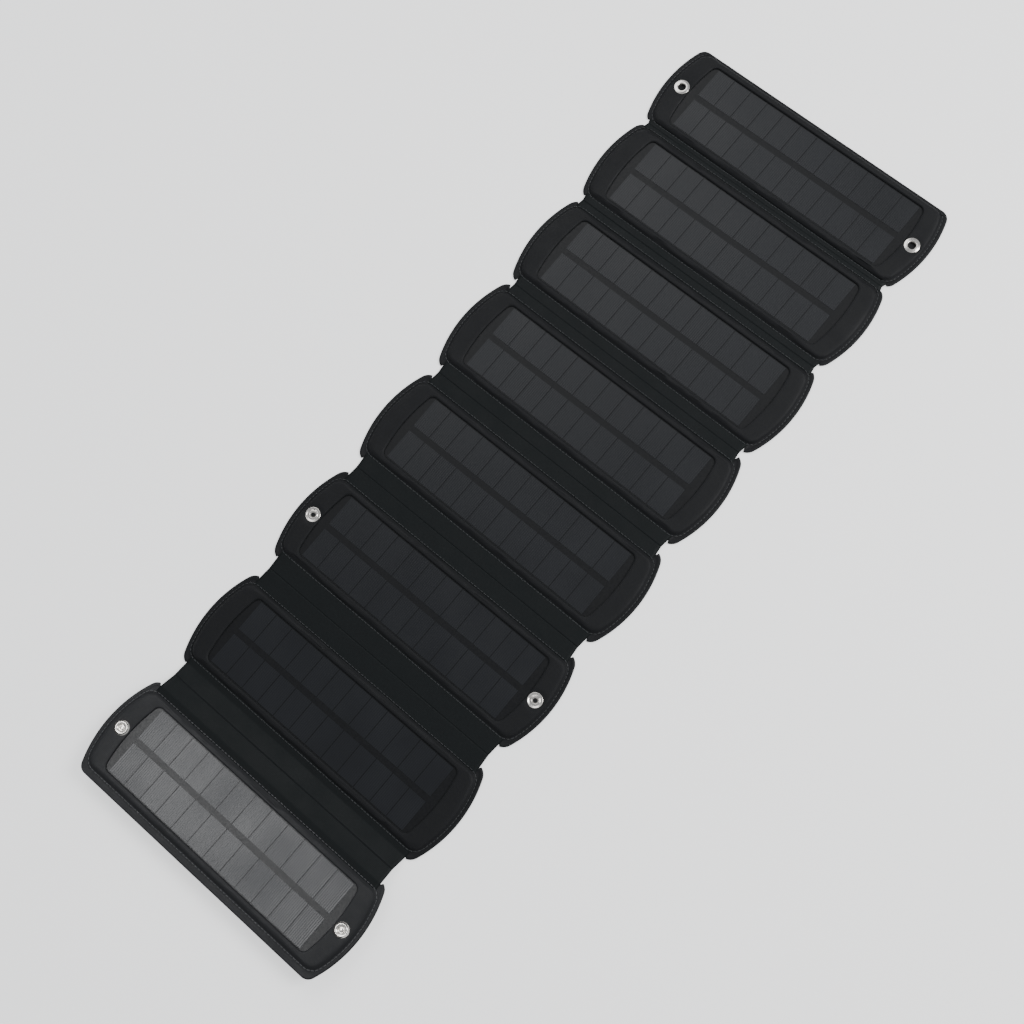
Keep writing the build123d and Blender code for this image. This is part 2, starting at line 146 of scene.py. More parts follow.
class BlanketClothSettings(bpy.types.PropertyGroup):
    """Padded covers and cloth hinges, in millimetres"""

    lobe_half_length: size("Lobe half length", "Panel centre to the tip of its rounded end", 126.6)
    lobe_radius: size("Lobe radius", "Radius of the rounded ends", 100.0)
    border_inset: size("Border inset", "Cloth edge to the padded border", 4.4)
    border_half_width: size("Border half width", "Half width of the padded border across a panel", 36.0)
    window_half_length: size("Window half length", "Half the visible film along a panel", 105.5)
    window_half_width: size("Window half width", "Half the visible film across a panel", 30.0)
    pad_height: size("Pad height", "Top of the padded border over the back face", 3.3)
    hem_height: size("Hem height", "Crown of the folded hem over the back face", 1.6)
    pucker: size("Pucker", "Height of the ripples that the stitching pulls in the pad", 0.34)
    stitch_pitch: size("Stitch pitch", "Distance from one stitch to the next", 3.2)
    thread_radius: size("Thread radius", "Radius of the sewing thread", 0.34)
    thread_spacing: size("Thread spacing", "Distance between the yarns of the weave", 0.55)
    cloth_colour: colour("Cover cloth", "sRGB hex of the coated cover cloth", "131416")
    hinge_colour: colour("Hinge cloth", "sRGB hex of the hinge cloth", "0f1314")
    thread_colour: colour("Thread", "sRGB hex of the sewing thread", "1f2124")


class BlanketFilmSettings(bpy.types.PropertyGroup):
    """Embossed film and cells"""

    rib_pitch: size("Rib pitch", "Distance between the fine ribs embossed in the film, mm", 1.64)
    film_colour: colour("Cell film", "sRGB hex of a cell under the film", "16181c")
    gap_colour: colour("Backing", "sRGB hex of the sheet between the cells", "0e0f11")


class BlanketMetalSettings(bpy.types.PropertyGroup):
    """Eyelets, snaps and the output box"""

    nickel_colour: colour("Nickel", "sRGB hex of the nickel plate", "dedad4")
    box_colour: colour("Box plastic", "sRGB hex of the moulded box", "232425")


class BlanketStageSettings(bpy.types.PropertyGroup):
    """Floor, lights and camera"""

    floor_colour: colour("Floor", "sRGB hex of the floor", "f0f0f0")
    floor_glow: size("Floor glow", "Strength of the light through the paper floor", 0.9)
    camera_place: FloatVectorProperty(
        name="Camera", description="Camera position, mm", default=(280.16, -138.86, 1109.86), size=3,
    )
    camera_turn: FloatVectorProperty(
        name="Camera turn", description="Camera rotation about X, Y and Z, degrees",
        default=(13.552, 6.717, 40.264), size=3,
    )
    camera_lens: size("Lens", "Focal length on a 36 mm sensor, mm", 53.087)
    sky: size("Sky", "Strength of the even light from all round", 0.5)
    key: size("Key softbox", "Power of the softbox behind the free end, W", 26.0)
    fill: size("Fill softbox", "Power of the softbox on the -X side, W", 10.0)
    sheen_light: size("Rim softbox", "Power of the softbox that glances off the last panel, W", 16.0)


# ---- materials ----
def linear(text):
    """sRGB hex to linear RGBA."""
    channels = [int(text[i:i + 2], 16) / 255 for i in (0, 2, 4)]
    curve = [c / 12.92 if c <= 0.04045 else ((c + 0.055) / 1.055) ** 2.4 for c in channels]
    return (*curve, 1.0)


def add(tree, kind, links=None, values=None, **settings):
    """Adds a node, with its settings, its sockets' own values and the links into it."""
    node = tree.nodes.new(kind)
    for key, value in settings.items():
        setattr(node, key, value)
    for key, value in (values or {}).items():
        node.inputs[key].default_value = value
    for key, output in (links or {}).items():
        tree.links.new(output, node.inputs[key])
    return node


def new_material(name, **shader):
    """Empty material with a principled shader; returns it, its tree and the shader."""
    material = bpy.data.materials.new(name)
    material.use_nodes = True
    tree = material.node_tree
    surface = tree.nodes["Principled BSDF"]
    for key, value in shader.items():
        surface.inputs[key.replace("_", " ")].default_value = value
    return material, tree, surface


def ramp(tree, factor, low, high, start=0.0, end=1.0):
    node = add(tree, "ShaderNodeValToRGB", {"Fac": factor})
    first, last = node.color_ramp.elements
    first.position, last.position = start, end
    first.color, last.color = low, high
    return node.outputs["Color"]


def shade(base, factor):
    return (base[0] * factor, base[1] * factor, base[2] * factor, 1.0)


def woven_polyester(name, base, spacing, gloss):
    """Coated woven polyester, calendered: matte yarns with a faint sheen, cloudy where the coating varies."""
    material, tree, surface = new_material(
        name, Roughness=0.62, IOR=1.5, Sheen_Weight=0.03, Sheen_Roughness=0.5,
        Specular_IOR_Level=gloss,
    )
    place = add(tree, "ShaderNodeTexCoord").outputs["Object"]
    pitch = spacing * MM
    weave = []
    for direction in ("X", "Y"):
        # one wave of the texture spans 2 pi / 20 of its own units at scale 1
        wave = add(
            tree, "ShaderNodeTexWave", {"Vector": place},
            {"Scale": 2 * pi / 20 / (2 * pitch), "Distortion": 0.0},
            wave_type="BANDS", bands_direction=direction, wave_profile="SIN",
        )
        weave.append(wave.outputs["Fac"])
    crossing = add(tree, "ShaderNodeMath", {0: weave[0], 1: weave[1]}, operation="MULTIPLY").outputs[0]
    cloud = add(
        tree, "ShaderNodeTexNoise", {"Vector": place}, {"Scale": 45.0, "Detail": 5.0, "Roughness": 0.6},
    )
    fleck = add(tree, "ShaderNodeTexNoise", {"Vector": place}, {"Scale": 900.0, "Detail": 2.0})
    tone = add(
        tree, "ShaderNodeMath", {0: cloud.outputs["Fac"], 1: fleck.outputs["Fac"]}, operation="MULTIPLY",
    ).outputs[0]
    yarn = add(tree, "ShaderNodeMath", {0: tone, 1: crossing}, {2: 0.0}, operation="ADD").outputs[0]
    tone_range = ramp(tree, yarn, shade(base, 0.72), shade(base, 1.38), 0.15, 0.95)
    tree.links.new(tone_range, surface.inputs["Base Color"])
    rough = add(
        tree, "ShaderNodeMapRange", {"Value": cloud.outputs["Fac"]},
        {"From Min": 0.3, "From Max": 0.7, "To Min": 0.52, "To Max": 0.7},
    )
    tree.links.new(rough.outputs[0], surface.inputs["Roughness"])
    grain = add(tree, "ShaderNodeBump", {"Height": yarn}, {"Strength": 0.35, "Distance": 0.12 * MM})
    buckle = add(
        tree, "ShaderNodeBump", {"Height": cloud.outputs["Fac"], "Normal": grain.outputs["Normal"]},
        {"Strength": 0.3, "Distance": 1.2 * MM},
    )
    tree.links.new(buckle.outputs["Normal"], surface.inputs["Normal"])
    return material


def embossed_film(name, base, pitch):
    """Thin film cell under clear embossed film: fine ribs across the panel and a soft gloss."""
    material, tree, surface = new_material(
        name, Roughness=0.34, IOR=1.5, Specular_IOR_Level=0.3, Coat_Weight=0.08, Coat_Roughness=0.3,
    )
    place = add(tree, "ShaderNodeTexCoord").outputs["Object"]
    ribs = add(
        tree, "ShaderNodeTexWave", {"Vector": place},
        {"Scale": 2 * pi / 20 / (pitch * MM), "Distortion": 0.0},
        wave_type="BANDS", bands_direction="X", wave_profile="SIN",
    )
    cloud = add(tree, "ShaderNodeTexNoise", {"Vector": place}, {"Scale": 22.0, "Detail": 4.0})
    grain = add(tree, "ShaderNodeTexNoise", {"Vector": place}, {"Scale": 1600.0, "Detail": 1.0})
    mixed = add(
        tree, "ShaderNodeMath", {0: ribs.outputs["Fac"], 1: cloud.outputs["Fac"]}, operation="MULTIPLY",
    ).outputs[0]
    tone_range = ramp(tree, mixed, shade(base, 0.7), shade(base, 1.25), 0.0, 0.7)
    tree.links.new(tone_range, surface.inputs["Base Color"])
    rough = add(
        tree, "ShaderNodeMapRange", {"Value": cloud.outputs["Fac"]},
        {"From Min": 0.3, "From Max": 0.7, "To Min": 0.3, "To Max": 0.42},
    )
    tree.links.new(rough.outputs[0], surface.inputs["Roughness"])
    emboss = add(
        tree, "ShaderNodeBump", {"Height": ribs.outputs["Fac"]}, {"Strength": 0.4, "Distance": 0.12 * MM},
    )
    fine = add(
        tree, "ShaderNodeBump", {"Height": grain.outputs["Fac"], "Normal": emboss.outputs["Normal"]},
        {"Strength": 0.25, "Distance": 0.05 * MM},
    )
    tree.links.new(fine.outputs["Normal"], surface.inputs["Normal"])
    return material


def speckled(name, base, rough, grain_mm, depth_mm, **shader):
    """Moulded or cast surface: an even colour with a fine random grain in its gloss and its height."""
    material, tree, surface = new_material(name, **shader)
    place = add(tree, "ShaderNodeTexCoord").outputs["Object"]
    grain = add(
        tree, "ShaderNodeTexNoise", {"Vector": place}, {"Scale": 1 / (grain_mm * MM), "Detail": 3.0},
    ).outputs["Fac"]
    tone_range = ramp(tree, grain, shade(base, 0.86), shade(base, 1.14), 0.3, 0.7)
    tree.links.new(tone_range, surface.inputs["Base Color"])
    spread = add(
        tree, "ShaderNodeMapRange", {"Value": grain},
        {"From Min": 0.3, "From Max": 0.7, "To Min": rough * 0.8, "To Max": min(1.0, rough * 1.2)},
    )
    tree.links.new(spread.outputs[0], surface.inputs["Roughness"])
    bump = add(tree, "ShaderNodeBump", {"Height": grain}, {"Strength": 0.5, "Distance": depth_mm * MM})
    tree.links.new(bump.outputs["Normal"], surface.inputs["Normal"])
    return material


def sewing_thread(base):
    """Twisted polyester thread, bonded: lighter and shinier than the cloth, with its twist as bump."""
    material, tree, surface = new_material(
        "twisted_polyester_thread", Roughness=0.45, IOR=1.5, Sheen_Weight=0.2,
    )
    place = add(tree, "ShaderNodeTexCoord").outputs["Object"]
    twist = add(
        tree, "ShaderNodeTexWave", {"Vector": place}, {"Scale": 2 * pi / 20 / (0.5 * MM), "Distortion": 0.0},
        wave_type="BANDS", bands_direction="DIAGONAL", wave_profile="SIN",
    ).outputs["Fac"]
    tree.links.new(ramp(tree, twist, shade(base, 0.7), shade(base, 1.3)), surface.inputs["Base Color"])
    bump = add(tree, "ShaderNodeBump", {"Height": twist}, {"Strength": 0.4, "Distance": 0.08 * MM})
    tree.links.new(bump.outputs["Normal"], surface.inputs["Normal"])
    return material


MATERIALS = {}


def make_materials(scene):
    cloth, film = scene.blanket_cloth, scene.blanket_film
    metal, stage = scene.blanket_metal, scene.blanket_stage
    MATERIALS.update({
        # the weave is far finer than the render shows, so the yarns are drawn a little coarser than real ones
        "cover": woven_polyester(
            "calendered_polyester_cover", linear(cloth.cloth_colour), cloth.thread_spacing, 0.22,
        ),
        "hinge": woven_polyester(
            "calendered_polyester_hinge", linear(cloth.hinge_colour), cloth.thread_spacing, 0.18,
        ),
        "thread": sewing_thread(linear(cloth.thread_colour)),
        "film": embossed_film("embossed_etfe_over_cell", linear(film.film_colour), film.rib_pitch),
        # black polymer backing sheet, laminated: darker and a little duller than the cells on it
        "backing": speckled(
            "laminated_backing_sheet", linear(film.gap_colour), 0.42, 1.2, 0.03,
            IOR=1.5, Specular_IOR_Level=0.25,
        ),
        # brass with bright nickel plate, pressed: a clean metal mirror with faint press marks
        "nickel": speckled(
            "nickel_plated_brass", linear(metal.nickel_colour), 0.2, 1.6, 0.02, Metallic=1.0,
        ),
        # ABS, injection moulded with a spark-eroded texture: dull black with a fine grain
        "box": speckled("moulded_abs", linear(metal.box_colour), 0.5, 0.5, 0.05, IOR=1.54),
        # silicone seal, moulded: soft, dull and dark
        "seal": speckled("moulded_silicone", linear("1c1c1d"), 0.75, 0.8, 0.02, IOR=1.42),
        # zinc-plated steel screws, turned: grey metal with a light scatter
        "zinc": speckled("zinc_plated_steel", linear("b4b6b8"), 0.32, 0.7, 0.02, Metallic=1.0),
        # glass epoxy board with solder mask, printed: glossy green
        "board": speckled("solder_mask_board", linear("1f5a36"), 0.35, 1.5, 0.02, IOR=1.55),
        # epoxy packages, moulded: matte black
        "package": speckled("moulded_epoxy", linear("1e1e1f"), 0.55, 0.4, 0.02, IOR=1.55),
        # bare rolled copper: bright and reddish with a haze from the rolls
        "copper": speckled("rolled_copper", linear("c9805c"), 0.3, 1.0, 0.02, Metallic=1.0),
        # matte white paper sweep, lit through from below as on a light table, so that it stays even and pale
        "floor": new_material(
            "white_paper_sweep", Base_Color=linear(stage.floor_colour), Roughness=0.9,
            Specular_IOR_Level=0.1, Emission_Color=(1.0, 1.0, 1.0, 1.0), Emission_Strength=stage.floor_glow,
        )[0],
    })


# ---- mesh helpers, all sizes in millimetres ----
def mesh_piece(name, points, faces, material, smooth=True):
    mesh = bpy.data.meshes.new(name)
    mesh.from_pydata([Vector(p) * MM for p in points], [], faces)
    mesh.validate()
    mesh.materials.append(MATERIALS[material])
    mesh.polygons.foreach_set("use_smooth", [smooth] * len(mesh.polygons))
    mesh.update()
    piece = bpy.data.objects.new(name, mesh)
    bpy.context.scene.collection.objects.link(piece)
    return piece


def turned(section, place, points, faces, steps=40):
    """Adds a lathed ring: section is (radius, height) pairs, place carries its own axis to the row frame."""
    start = len(points)
    for radius, height in section:
        for step in range(steps):
            angle = 2 * pi * step / steps
            points.append(place @ Vector((radius * cos(angle), radius * sin(angle), height)))
    for ring in range(len(section) - 1):
        for step in range(steps):
            after = (step + 1) % steps
            a, b = start + ring * steps, start + (ring + 1) * steps
            faces.append((a + step, a + after, b + after, b + step))


def arc_section(centre_r, centre_h, radius, start, end, steps=6):
    """(radius, height) pairs along an arc; angles in degrees from straight out, rising."""
    return [
        (centre_r + radius * cos(radians(start + (end - start) * i / steps)),
         centre_h + radius * sin(radians(start + (end - start) * i / steps)))
        for i in range(steps + 1)
    ]


def ease(value, low, high):
    t = min(1.0, max(0.0, (value - low) / (high - low)))
    return t * t * (3 - 2 * t)


# ---- outlines of a panel: long straight edges, ends of a large radius, small corners ----
CORNER_STEPS = 7
END_STEPS = 30


def rounded_ring(half_length, low, high, end_radius, corner, long_x):
    """Closed loop of points; long_x holds the X places along the long edges, as shares of their length."""
    middle = half_length - end_radius

    def corner_centre(edge):
        y = edge + corner if edge < 0 else edge - corner
        return middle + sqrt((end_radius - corner) ** 2 - y ** 2), y

    low_x, low_y = corner_centre(low)
    high_x, high_y = corner_centre(high)
    low_angle, high_angle = asin(low_y / (end_radius - corner)), asin(high_y / (end_radius - corner))
    side = [(low_x + corner * cos(a), low_y + corner * sin(a))
            for a in (-pi / 2 + (low_angle + pi / 2) * i / CORNER_STEPS for i in range(CORNER_STEPS + 1))]
    for i in range(1, END_STEPS):
        a = low_angle + (high_angle - low_angle) * i / END_STEPS
        side.append((middle + end_radius * cos(a), end_radius * sin(a)))
    rise = pi / 2 - high_angle
    side += [(high_x + corner * cos(a), high_y + corner * sin(a))
             for a in (high_angle + rise * i / CORNER_STEPS for i in range(CORNER_STEPS + 1))]
    loop = [(low_x * share, low) for share in long_x] + side
    loop += [(-high_x * share, high) for share in long_x] + [(-x, y) for x, y in reversed(side)]
    return loop


# even places along a long edge, as shares of half its length, short of the corners
LONG_STEPS = 84
LONG_REACH = 0.97
LONG_SHARES = [-LONG_REACH + 2 * LONG_REACH * i / LONG_STEPS for i in range(LONG_STEPS + 1)]


def panel_limits(panel):
    """Cloth edges across the panel at its rounded ends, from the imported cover."""
    inverse = PANEL_FRAMES[panel].inverted()
    low, high = box_mm(f"panel_{panel}_front_cover")
    ys = [(inverse @ Vector((0, y, z))).y for y in (low.y, high.y) for z in (low.z, high.z)]
    if panel == 8:
        return min(ys) + 0.25, max(ys)
    return low.y - CENTRE_Y[panel], high.y - CENTRE_Y[panel]


def hinge_on(panel, y):
    """The hinge on this side of a panel, if there is one."""
    hinge = panel if y < 0 else panel - 1
    return hinge if 1 <= hinge <= 7 else None


class PanelShape:
    """Rings of one panel's cover, from the cloth edge in to the window."""

    def __init__(self, panel, cloth):
        self.panel, self.cloth = panel, cloth
        self.low, self.high = panel_limits(panel)
        self.corner = OUTER_CORNER if panel in (1, 8) else LOBE_CORNER

    def edge_ring(self, inset):
        c = self.cloth
        return rounded_ring(
            c.lobe_half_length - inset, self.low + inset, self.high - inset,
            c.lobe_radius - inset, max(self.corner - inset, 1.0), LONG_SHARES,
        )

    def border_ring(self, inset):
        c = self.cloth
        width = c.border_half_width - inset
        return rounded_ring(
            c.lobe_half_length - c.border_inset - inset, -width, width,
            c.lobe_radius - c.border_inset - inset, LOBE_CORNER - inset, LONG_SHARES,
        )

    def window_ring(self, inset):
        c = self.cloth
        width = c.window_half_width - inset
        return rounded_ring(
            c.window_half_length - inset, -width, width,
            WINDOW_RADIUS - inset, max(WINDOW_CORNER - inset, 0.8), LONG_SHARES,
        )

    def at_strip(self, x, y):
        """How far a point lies in the stretch where the panel joins a hinge strip, 0 to 1."""
        hinge = hinge_on(self.panel, y)
        if hinge is None:
            return 0.0
        return 1.0 - ease(abs(x), STRIP_HALF[hinge] - 0.2, STRIP_HALF[hinge] + 0.9)

    def ripple(self, x, y, seed, length=16.0):
        return noise.noise(Vector((x / length, y / 60, seed + self.panel * 3.7)))


def to_ledge(shape, y, near, strip_inset):
    """Moves a point of the cloth edge on to the flat ledge beside a hinge strip; near is at_strip."""
    offset = CREASE_OFFSET[hinge_on(shape.panel, y)]
    limit = offset - CREASE_GAP - strip_inset * (offset - LEDGE_START)
    flat = min(abs(y), limit) * (1 if y > 0 else -1)
    return y + (flat - y) * near


def blend_ring(first, second, share):
    return [(a[0] + (b[0] - a[0]) * share, a[1] + (b[1] - a[1]) * share) for a, b in zip(first, second)]


def cover_rings(shape):
    """The front cover's rings, as lists of (x, y, z) in the panel's own frame."""
    cloth, pad, hem = shape.cloth, shape.cloth.pad_height, shape.cloth.hem_height
    rings = []
    # cloth edge: bottom, side, crown of the hem, and down to the stitched groove
    edge = ((0.15, 0.45, 0.0), (0.0, 0.85, 0.0), (0.25, hem - 0.3, 0.15), (0.9, hem, 0.3),
            (1.8, hem + 0.05, 0.45), (2.7, hem - 0.3, 0.6), (3.4, hem - 0.5, 0.75))
    for inset, height, strip_inset in edge:
        ring = []
        for x, y in shape.edge_ring(inset):
            near = shape.at_strip(x, y)
            if near > 0:
                y = to_ledge(shape, y, near, strip_inset)
                height_here = height + (min(height, LEDGE_HEIGHT) - height) * near
            else:
                height_here = height + 0.12 * shape.ripple(x, y, 1.0, 9.0)
            ring.append((x, y, height_here))
        rings.append(ring)
    # slope up on to the pad, rippled by the seam
    slope = ((-0.3, 1.1, 0.1), (0.5, 1.65, 0.5), (1.2, 2.45, 1.0), (2.0, 2.98, 1.0), (3.0, pad - 0.06, 0.7))
    for inset, height, wave in slope:
        ring = []
        for x, y in shape.border_ring(inset):
            side = shape.at_strip(x, y)
            lift = cloth.pucker * wave * (0.45 + 0.9 * side)
            height_here = height + lift * shape.ripple(x, y, 5.0) + 0.5 * lift * shape.ripple(x, y, 9.0, 5.0)
            shift = 0.9 * side * wave * shape.ripple(x, y, 7.0, 11.0)
            ring.append((x, y + (shift if y > 0 else -shift), height_here))
        rings.append(ring)
    # top of the pad and the rolled lip round the window
    inner, outer = shape.window_ring(-0.9), shape.border_ring(3.0)
    crown = ((0.18, pad), (0.36, pad + 0.02), (0.54, pad), (0.72, pad - 0.02), (0.88, pad - 0.03))
    for share, height in crown:
        rings.append([
            (x, y, height + 0.35 * cloth.pucker * shape.ripple(x, y, 11.0, 13.0))
            for x, y in blend_ring(outer, inner, share)
        ])
    for inset, height in ((-0.9, pad - 0.12), (-0.35, pad - 0.45), (0.0, 2.35), (0.05, 1.98), (-1.6, 1.95)):
        rings.append([(x, y, height) for x, y in shape.window_ring(inset)])
    return rings


def back_rings(shape):
    """The back cover's rings, from the hem in to the middle, seam pressed in."""
    rings = []
    edge = ((0.3, 0.8, 0.0), (0.05, 0.45, 0.0), (0.5, 0.12, 0.1), (1.5, 0.04, 0.3),
            (2.6, 0.1, 0.5), (3.4, 0.34, 0.75))
    for inset, height, strip_inset in edge:
        ring = []
        for x, y in shape.edge_ring(inset):
            near = shape.at_strip(x, y)
            if near > 0:
                y = to_ledge(shape, y, near, strip_inset)
            ring.append((x, y, height))
        rings.append(ring)
    for inset, height in ((0.2, 0.1), (1.4, 0.04), (5.0, 0.03)):
        rings.append([
            (x, y, height + 0.03 * (1 + shape.ripple(x, y, 21.0))) for x, y in shape.border_ring(inset)
        ])
    for inset in (0.0, 8.0, 16.0, 24.0, 28.5):
        rings.append([
            (x, y, 0.05 + 0.05 * (1 + noise.noise(Vector((x / 30, y / 22, shape.panel * 5.1)))))
            for x, y in shape.window_ring(inset)
        ])
    return rings


def ring_mesh(rings, closed_middle=False):
    points = [point for ring in rings for point in ring]
    count, faces = len(rings[0]), []
    for ring in range(len(rings) - 1):
        a, b = ring * count, (ring + 1) * count
        for i in range(count):
            j = (i + 1) % count
            faces.append((a + i, a + j, b + j, b + i))
    if closed_middle:
        start = (len(rings) - 1) * count
        faces.append(tuple(range(start, start + count)))
    return points, faces


def pressed_round(points, faces, hole, dimple_depth, top):
    """Presses the cloth down round each eyelet or snap, and opens it where hole is over 0."""
    inside = set()
    pressed = []
    for index, (x, y, z) in enumerate(points):
        cx = HARDWARE_X if x > 0 else -HARDWARE_X
        r = sqrt((x - cx) ** 2 + y ** 2)
        depth = dimple_depth * (1 - ease(r, 6.0, 8.6))
        z = z - depth if top else z + depth
        if hole and r < hole:
            inside.add(index)
            r = max(r, 0.001)
            x, y = cx + (x - cx) * hole / r, y * hole / r
        pressed.append((x, y, z))
    kept = [face for face in faces if not all(i in inside for i in face)]
    return pressed, kept


def to_row(points, panel):
    return [PANEL_FRAMES[panel] @ Vector(p) for p in points]


# panel: radius of the hole in its cloth (0 for none) and depth that the hardware presses the face
HARDWARE_PRESS = {1: (4.6, 0.85), 6: (0.0, 0.7), 8: (0.0, 0.45)}
EYELET_BACK_PRESS = 0.3


class BLANKET_OT_covers(bpy.types.Operator):
    """Padded front cover and seamed back cover of every panel"""

    bl_idname = "blanket.covers"
    bl_label = "Panel covers"

    def execute(self, context):
        cloth = context.scene.blanket_cloth
        for panel in PANELS:
            shape = PanelShape(panel, cloth)
            sides = (("front", cover_rings(shape), False), ("back", back_rings(shape), True))
            for part, rings, closed in sides:
                points, faces = ring_mesh(rings, closed)
                if part == "back":
                    faces = [tuple(reversed(face)) for face in faces]
                if panel in HARDWARE_PRESS:
                    hole, depth = HARDWARE_PRESS[panel]
                    if part == "back":
                        depth = EYELET_BACK_PRESS if panel == 1 else 0.0
                    points, faces = pressed_round(points, faces, hole, depth, part == "front")
                name = f"panel_{panel}_{part}_cloth"
                piece = mesh_piece(name, to_row(points, panel), faces, "cover")
                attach(piece, f"panel_{panel}")
                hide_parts(f"panel_{panel}_{part}_cover")
        return {"FINISHED"}


# ---- stitches ----
def walk(loop, pitch):
    """Points and headings at even steps along a closed loop."""
    total = sum((Vector(b) - Vector(a)).length for a, b in zip(loop, loop[1:] + loop[:1]))
    step = total / round(total / pitch)
    ahead, places = 0.0, []
    for a, b in zip(loop, loop[1:] + loop[:1]):
        a, b = Vector(a), Vector(b)
        length = (b - a).length
        while ahead < length - 1e-6:
            places.append((a + (b - a) * (ahead / length), (b - a).normalized()))
            ahead += step
        ahead -= length
    return places


# along a stitch: share of its length, share of the thread's radius, and lift in radii
STITCH_SECTIONS = ((-0.5, 0.35, -0.5), (-0.3, 0.9, 0.1), (0.0, 1.0, 0.3), (0.3, 0.9, 0.1), (0.5, 0.35, -0.5))
STITCH_SINK = 0.42           # a stitch's middle under the crown of the hem
LEDGE_STITCH_HEIGHT = 1.28   # a stitch's middle over the back face, beside a hinge strip


def stitch(centre, heading, length, radius, points, faces):
    """One raised stitch: a short spindle of thread that dips into the cloth at both ends."""
    start, around = len(points), 6
    across = Vector((-heading.y, heading.x, 0))
    for along, swell, lift in STITCH_SECTIONS:
        for i in range(around):
            angle = 2 * pi * i / around
            offset = across * (radius * swell * cos(angle))
            height = radius * (swell * sin(angle) + lift)
            spot = centre + Vector((heading.x, heading.y, 0)) * (along * length) + offset
            points.append(spot + Vector((0, 0, height)))
    for ring in range(4):
        for i in range(around):
            j = (i + 1) % around
            a, b = start + ring * around, start + (ring + 1) * around
            faces.append((a + i, a + j, b + j, b + i))
    faces.append(tuple(start + i for i in reversed(range(around))))
    faces.append(tuple(start + 4 * around + i for i in range(around)))


class BLANKET_OT_stitches(bpy.types.Operator):
    """Row of raised stitches round every padded border, on the solar face"""

    bl_idname = "blanket.stitches"
    bl_label = "Stitching"

    def execute(self, context):
        cloth = context.scene.blanket_cloth
        for panel in PANELS:
            shape = PanelShape(panel, cloth)
            points, faces = [], []
            for spot, heading in walk(shape.border_ring(-1.0), cloth.stitch_pitch):
                strip = shape.at_strip(spot.x, spot.y)
                height = cloth.hem_height - STITCH_SINK
                height += (LEDGE_STITCH_HEIGHT - cloth.hem_height + STITCH_SINK) * strip
                centre = Vector((spot.x, spot.y, height))
                stitch(centre, heading, cloth.stitch_pitch * 0.86, cloth.thread_radius, points, faces)
            piece = mesh_piece(f"panel_{panel}_stitches", to_row(points, panel), faces, "thread")
            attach(piece, f"panel_{panel}")
        return {"FINISHED"}


# ---- hinge strips ----
STRIP_COLUMNS = 90
STRIP_WAIST = 1.2            # how much each end draws in at the strip's middle
STRIP_WAVE = 0.14
STRIP_TOP = 0.44             # over the crease's height
STRIP_BOTTOM = 0.4           # under it


def strip_path(hinge, side):
    """Points (y, z) of half a strip, from under a panel's border over the crease to the strip's middle."""
    near, far = crease(hinge, "near"), crease(hinge, "far")
    middle = (near + far) / 2
    if side == "near":
        fold, tuck = near, PANEL_FRAMES[hinge + 1] @ Vector((0, STRIP_TUCK, CREASE_HEIGHT))
    else:
        fold, tuck = far, PANEL_FRAMES[hinge] @ Vector((0, -STRIP_TUCK, CREASE_HEIGHT))
    path = []
    before, after = fold - tuck, middle - fold
    steps = max(3, round(before.length / 0.7))
    path += [tuck + before * (i / steps) for i in range(steps)]
    steps = max(4, round(after.length / 0.8))
    path += [fold + after * (i / steps) for i in range(steps + 1)]
    return path, fold, tuck, middle


def strip_mesh(hinge, side):
    """Closed slab of two cloth layers that follows the path, waisted a little towards its middle."""
    path, fold, tuck, middle = strip_path(hinge, side)
    half = STRIP_HALF[hinge]
    columns, top, bottom = STRIP_COLUMNS, [], []
    span = (middle - tuck).length
    for index, spot in enumerate(path):
        before, after = path[max(index - 1, 0)], path[min(index + 1, len(path) - 1)]
        run = (after - before).normalized()
        if side == "far":
            run = -run
        normal = Vector((0, -run.z, run.y))
        share = (spot - tuck).length / span
        half_here = half - STRIP_WAIST * share
        for column in range(columns + 1):
            x = -half_here + 2 * half_here * column / columns
            wave = STRIP_WAVE * share * noise.noise(Vector((x / 13, hinge * 4.3, spot.y / 14)))
            top.append(Vector((x, spot.y, spot.z)) + normal * (STRIP_TOP + wave))
            bottom.append(Vector((x, spot.y, spot.z)) - normal * (STRIP_BOTTOM - wave))
    rows, width = len(path), columns + 1
    offset, faces = len(top), []
    for row in range(rows - 1):
        for column in range(columns):
            a = row * width + column
            quad = (a, a + 1, a + width + 1, a + width)
            faces.append(quad)
            faces.append(tuple(reversed([i + offset for i in quad])))
    rim = list(range(columns)) + [r * width + columns for r in range(rows - 1)]
    rim += [(rows - 1) * width + c for c in range(columns, 0, -1)]
    rim += [r * width for r in range(rows - 1, 0, -1)]
    for a, b in zip(rim, rim[1:] + rim[:1]):
        faces.append((b, a, a + offset, b + offset))
    if side == "far":
        faces = [tuple(reversed(face)) for face in faces]
    return top + bottom, faces, fold, tuck, middle


class BLANKET_OT_hinges(bpy.types.Operator):
    """Two-layer cloth hinge between each pair of panels, in two halves that each pass over a crease on one
    panel
    """

    bl_idname = "blanket.hinges"
    bl_label = "Cloth hinges"

    def execute(self, context):
        for hinge in HINGES:
            for side, panel in (("near", hinge + 1), ("far", hinge)):
                points, faces, fold, tuck, middle = strip_mesh(hinge, side)
                piece = mesh_piece(f"hinge_{hinge}_{side}_cloth", points, faces, "hinge")
                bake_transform(piece)
                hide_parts(f"hinge_{hinge}_cloth")
        return {"FINISHED"}


# ---- film, cells and leads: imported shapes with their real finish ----
def finish(node, material):
    piece = frame["nodes"][node]
    for slot in piece.material_slots:
        slot.link = "OBJECT"
        slot.material = MATERIALS[material]


